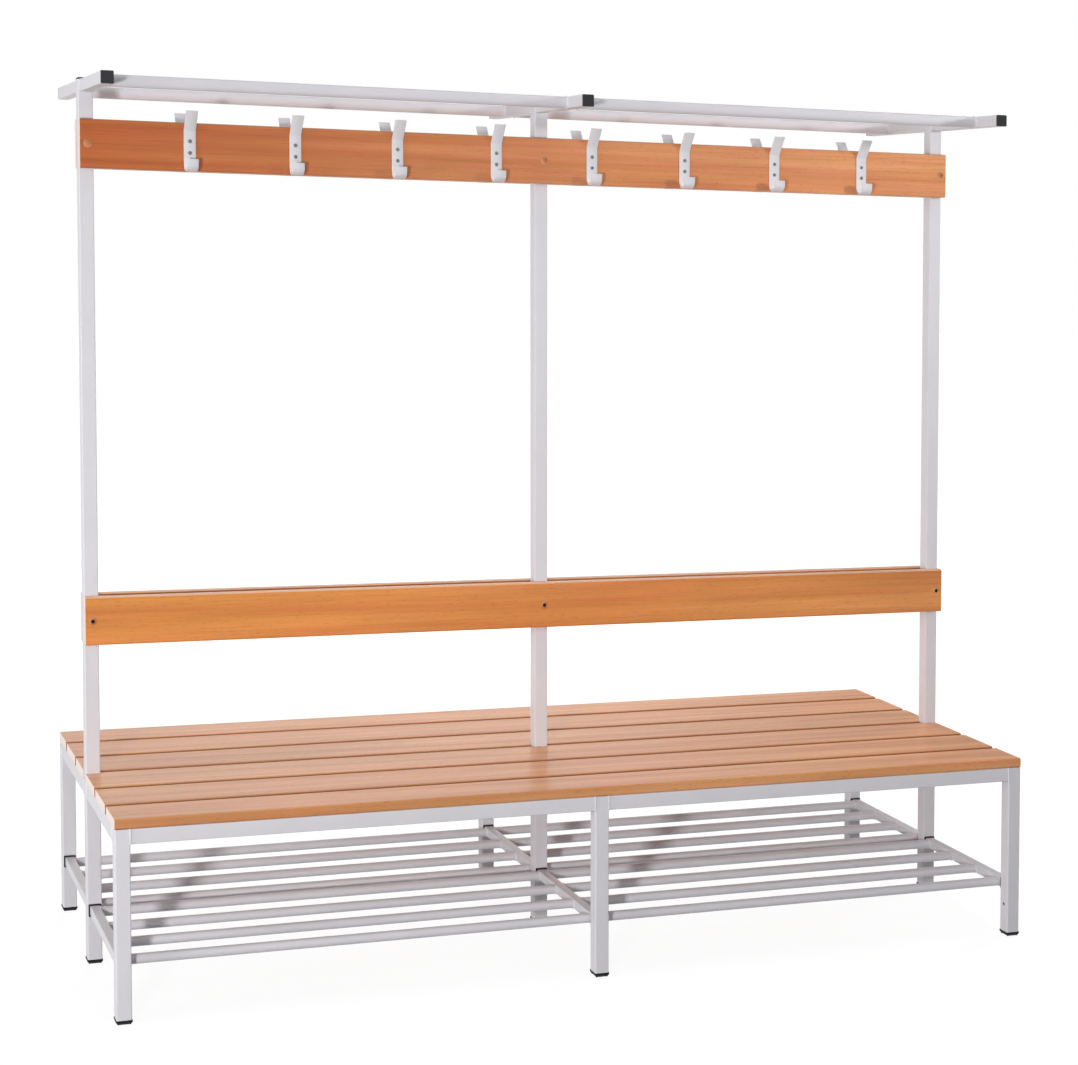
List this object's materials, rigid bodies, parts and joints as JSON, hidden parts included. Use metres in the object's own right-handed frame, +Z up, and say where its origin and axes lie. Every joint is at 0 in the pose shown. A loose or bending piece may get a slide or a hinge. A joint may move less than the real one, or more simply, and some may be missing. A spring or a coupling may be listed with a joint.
{
  "type": "cloakroom bench",
  "caption": "Double-sided cloakroom bench with slatted wooden seat, shoe rack of rods below, backrest boards, coat hooks on boards and a hat rack on tube uprights.",
  "frame": {"origin": "middle of the floor area, at floor level", "axes": "+X along the bench, +Y from the front side to the rear side, +Z up"},
  "size_m": [2.002, 0.767, 1.83],
  "materials": {
    "powder_coat": "satin powder coat",
    "hook_coat": "satin powder coat",
    "beech": "satin clear lacquer",
    "black_plastic": "moulded matt",
    "zinc_steel": "bright zinc"
  },
  "bodies": {
    "root": {"arm_plugs": "black_plastic", "board_bolts": "zinc_steel", "board_nuts": "zinc_steel", "crossbar_caps": "black_plastic", "foot_inserts": "black_plastic", "front_back_board": "beech", "front_hook_1": "hook_coat", "front_hook_2": "hook_coat", "front_hook_3": "hook_coat", "front_hook_4": "hook_coat", "front_hook_5": "hook_coat", "front_hook_6": "hook_coat", "front_hook_7": "hook_coat", "front_hook_8": "hook_coat", "front_hook_board": "beech", "front_inner_slat": "beech", "front_leg_left": "powder_coat", "front_leg_middle": "powder_coat", "front_leg_right": "powder_coat", "front_middle_slat": "beech", "front_outer_slat": "beech", "front_rail_left": "powder_coat", "front_rail_right": "powder_coat", "hook_screws": "zinc_steel", "rack_arms_left": "powder_coat", "rack_arms_middle": "powder_coat", "rack_arms_right": "powder_coat", "rack_tubes_left": "powder_coat", "rack_tubes_right": "powder_coat", "rear_back_board": "beech", "rear_hook_1": "hook_coat", "rear_hook_2": "hook_coat", "rear_hook_3": "hook_coat", "rear_hook_4": "hook_coat", "rear_hook_5": "hook_coat", "rear_hook_6": "hook_coat", "rear_hook_7": "hook_coat", "rear_hook_8": "hook_coat", "rear_hook_board": "beech", "rear_inner_slat": "beech", "rear_leg_left": "powder_coat", "rear_leg_middle": "powder_coat", "rear_leg_right": "powder_coat", "rear_middle_slat": "beech", "rear_outer_slat": "beech", "rear_rail_left": "powder_coat", "rear_rail_right": "powder_coat", "seat_cross_rails_left": "powder_coat", "seat_cross_rails_middle": "powder_coat", "seat_cross_rails_right": "powder_coat", "seat_screws": "zinc_steel", "shoe_crossbars_left": "powder_coat", "shoe_crossbars_middle": "powder_coat", "shoe_crossbars_right": "powder_coat", "shoe_rods_left": "powder_coat", "shoe_rods_right": "powder_coat", "upright_left": "powder_coat", "upright_middle": "powder_coat", "upright_plugs": "black_plastic", "upright_right": "powder_coat"}
  },
  "joints": []
}
